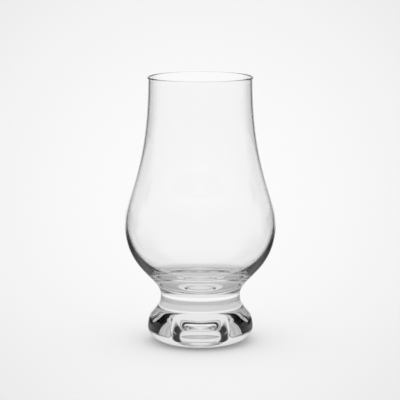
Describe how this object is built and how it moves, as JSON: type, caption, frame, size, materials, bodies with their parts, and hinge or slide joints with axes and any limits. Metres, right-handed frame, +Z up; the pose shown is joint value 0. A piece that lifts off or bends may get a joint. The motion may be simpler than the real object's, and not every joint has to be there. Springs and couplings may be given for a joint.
{
  "type": "whisky nosing glass",
  "caption": "Clear tulip-shaped nosing glass with a narrow mouth, a wide round bowl and a short heavy solid glass foot under its waist.",
  "frame": {"origin": "centre of the resting ring, on the table", "axes": "+Z up along the glass's axis, towards the mouth"},
  "size_m": [0.0653, 0.0652, 0.115],
  "materials": {
    "bowl_glass": "clear blown crystal, fire polished",
    "foot_glass": "clear pressed crystal, fire polished"
  },
  "bodies": {
    "root": {"bowl": "bowl_glass", "foot": "foot_glass"}
  },
  "joints": []
}
